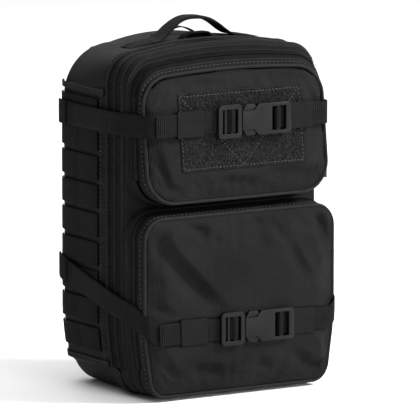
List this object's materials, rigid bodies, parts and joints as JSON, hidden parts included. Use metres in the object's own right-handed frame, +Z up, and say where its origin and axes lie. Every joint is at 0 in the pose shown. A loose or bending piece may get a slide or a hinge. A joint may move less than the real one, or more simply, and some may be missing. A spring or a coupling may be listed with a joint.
{
  "type": "trauma backpack",
  "caption": "Soft medical backpack with a fold-down front, zipped pockets, side-release compression straps, carry handle and padded shoulder harness.",
  "frame": {"origin": "middle of the main body's base, on the surface that the pack stands on", "axes": "+Z up, -Y to the front (the pockets), +Y to the wearer's back, +X to the viewer's right"},
  "size_m": [0.3123, 0.3053, 0.4895],
  "materials": {
    "pack_fabric": "plain-woven nylon, faint sheen",
    "webbing": "ribbed nylon webbing, matt",
    "zip_tape": "woven tape with coil teeth, matt",
    "piping": "bound edge, matt",
    "lining": "thin coated lining",
    "elastic": "ribbed elastic, matt",
    "harness_fabric": "woven nylon over foam",
    "back_mesh": "spacer mesh, matt",
    "loop_pile": "fuzzy loop pile, matt",
    "frame_plastic": "moulded sheet, satin",
    "buckle_plastic": "acetal, satin",
    "pull_plastic": "moulded, satin",
    "slider_metal": "black coated, satin"
  },
  "bodies": {
    "rear_shell": {"back_panel": "pack_fabric", "side_panel_left": "pack_fabric", "side_panel_right": "pack_fabric", "top_panel": "pack_fabric", "base_panel": "pack_fabric", "frame_sheet": "frame_plastic", "back_foam": "lining", "hydration_sleeve": "lining", "main_piping": "piping", "main_zip_rear": "zip_tape", "side_webbing": "webbing", "top_webbing": "webbing", "back_pads": "back_mesh", "harness_yoke": "pack_fabric", "upper_strap_sides": "webbing", "lower_strap_sides": "webbing", "harness_webbing": "webbing"},
    "carry_handle": {"carry_handle": "webbing"},
    "front_section": {"front_panel": "pack_fabric", "main_zip_front": "zip_tape", "upper_pocket_gusset": "pack_fabric", "upper_zip_rear": "zip_tape", "lower_pocket_gusset": "pack_fabric", "lower_zip_rear": "zip_tape"},
    "upper_flap": {"upper_zip_front": "zip_tape", "upper_pocket_face": "pack_fabric", "upper_face_piping": "piping", "loop_panel": "loop_pile", "upper_strap_front": "webbing", "upper_keeper_right": "elastic", "upper_buckle_socket": "buckle_plastic"},
    "lower_flap": {"lower_zip_front": "zip_tape", "lower_pocket_face": "pack_fabric", "lower_face_piping": "piping", "lower_strap_front": "webbing", "lower_keeper_right": "elastic", "lower_buckle_socket": "buckle_plastic"},
    "upper_plug": {"upper_buckle_plug": "buckle_plastic", "upper_strap_tail": "webbing", "upper_keeper_left": "elastic"},
    "upper_prong_top": {"upper_prong_top": "buckle_plastic"},
    "upper_prong_bottom": {"upper_prong_bottom": "buckle_plastic"},
    "lower_plug": {"lower_buckle_plug": "buckle_plastic", "lower_strap_tail": "webbing", "lower_keeper_left": "elastic"},
    "lower_prong_top": {"lower_prong_top": "buckle_plastic"},
    "lower_prong_bottom": {"lower_prong_bottom": "buckle_plastic"},
    "main_slider_up": {"main_slider_up": "slider_metal"},
    "main_slider_down": {"main_slider_down": "slider_metal"},
    "upper_slider": {"upper_slider": "slider_metal"},
    "lower_slider": {"lower_slider": "slider_metal"},
    "main_pull_up": {"main_pull_up": "pull_plastic"},
    "main_pull_down": {"main_pull_down": "pull_plastic"},
    "upper_pull": {"upper_pull": "pull_plastic"},
    "lower_pull": {"lower_pull": "pull_plastic"},
    "harness": {"shoulder_straps": "harness_fabric", "ladder_locks": "buckle_plastic", "sternum_strap": "webbing", "sternum_socket": "buckle_plastic"},
    "sternum_plug": {"sternum_plug": "buckle_plastic"}
  },
  "joints": [
    {"name": "main_open", "type": "hinge", "parent": "rear_shell", "child": "front_section", "pos_m": [0, -0.064, 0], "axis": [1, 0, 0], "range_deg": [0, 22], "deforming": ["upper_strap_sides", "lower_strap_sides"]},
    {"name": "upper_open", "type": "hinge", "parent": "front_section", "child": "upper_flap", "pos_m": [0, -0.1084, 0.256], "axis": [1, 0, 0], "range_deg": [0, 25], "deforming": ["upper_strap_sides"]},
    {"name": "lower_open", "type": "hinge", "parent": "front_section", "child": "lower_flap", "pos_m": [0, -0.1084, 0.004], "axis": [1, 0, 0], "range_deg": [0, 25], "deforming": ["lower_strap_sides"]},
    {"name": "upper_plug_slide", "type": "slide", "parent": "upper_flap", "child": "upper_plug", "axis": [-1, 0, 0], "range_m": [0, 0.034]},
    {"name": "upper_prong_top_squeeze", "type": "hinge", "parent": "upper_plug", "child": "upper_prong_top", "pos_m": [-0.0026, -0.1386, 0.3692], "axis": [0, 1, 0], "range_deg": [0, 6], "stiffness_Nm_per_rad": 0.6},
    {"name": "upper_prong_bottom_squeeze", "type": "hinge", "parent": "upper_plug", "child": "upper_prong_bottom", "pos_m": [-0.0026, -0.1386, 0.3548], "axis": [0, 1, 0], "range_deg": [-6, 0], "stiffness_Nm_per_rad": 0.6},
    {"name": "lower_plug_slide", "type": "slide", "parent": "lower_flap", "child": "lower_plug", "axis": [-1, 0, 0], "range_m": [0, 0.034]},
    {"name": "lower_prong_top_squeeze", "type": "hinge", "parent": "lower_plug", "child": "lower_prong_top", "pos_m": [-0.0026, -0.146, 0.0972], "axis": [0, 1, 0], "range_deg": [0, 6], "stiffness_Nm_per_rad": 0.6},
    {"name": "lower_prong_bottom_squeeze", "type": "hinge", "parent": "lower_plug", "child": "lower_prong_bottom", "pos_m": [-0.0026, -0.146, 0.0828], "axis": [0, 1, 0], "range_deg": [-6, 0], "stiffness_Nm_per_rad": 0.6},
    {"name": "main_slider_up_slide", "type": "slide", "parent": "rear_shell", "child": "main_slider_up", "axis": [0, 0, 1], "range_m": [0, 0.07]},
    {"name": "main_slider_down_slide", "type": "slide", "parent": "rear_shell", "child": "main_slider_down", "axis": [0, 0, -1], "range_m": [0, 0.045]},
    {"name": "upper_slider_slide", "type": "slide", "parent": "front_section", "child": "upper_slider", "axis": [0, 0, 1], "range_m": [0, 0.034]},
    {"name": "lower_slider_slide", "type": "slide", "parent": "front_section", "child": "lower_slider", "axis": [0, 0, -1], "range_m": [0, 0.034]},
    {"name": "main_pull_up_swing", "type": "hinge", "parent": "main_slider_up", "child": "main_pull_up", "pos_m": [0.1549, -0.0642, 0.2675], "axis": [0, -1, 0], "range_deg": [0, 150]},
    {"name": "main_pull_down_swing", "type": "hinge", "parent": "main_slider_down", "child": "main_pull_down", "pos_m": [0.1549, -0.0642, 0.2235], "axis": [0, -1, 0], "range_deg": [0, 150]},
    {"name": "upper_pull_swing", "type": "hinge", "parent": "upper_slider", "child": "upper_pull", "pos_m": [0.1509, -0.10567, 0.3055], "axis": [0, -1, 0], "range_deg": [0, 150]},
    {"name": "lower_pull_swing", "type": "hinge", "parent": "lower_slider", "child": "lower_pull", "pos_m": [0.1539, -0.1082, 0.2015], "axis": [0, -1, 0], "range_deg": [0, 150]},
    {"name": "handle_sway", "type": "hinge", "parent": "rear_shell", "child": "carry_handle", "pos_m": [0, -0.017, 0.462], "axis": [1, 0, 0], "range_deg": [-18, 18], "stiffness_Nm_per_rad": 0.05},
    {"name": "harness_swing", "type": "hinge", "parent": "rear_shell", "child": "harness", "pos_m": [0, 0.096, 0.428], "axis": [1, 0, 0], "range_deg": [0, 25], "deforming": ["harness_webbing"]},
    {"name": "sternum_plug_slide", "type": "slide", "parent": "harness", "child": "sternum_plug", "axis": [1, 0, 0], "range_m": [0, 0.022]}
  ],
  "couplings": [
    {"joint": "upper_prong_bottom_squeeze", "follows": "upper_prong_top_squeeze", "ratio": -1},
    {"joint": "lower_prong_bottom_squeeze", "follows": "lower_prong_top_squeeze", "ratio": -1}
  ]
}
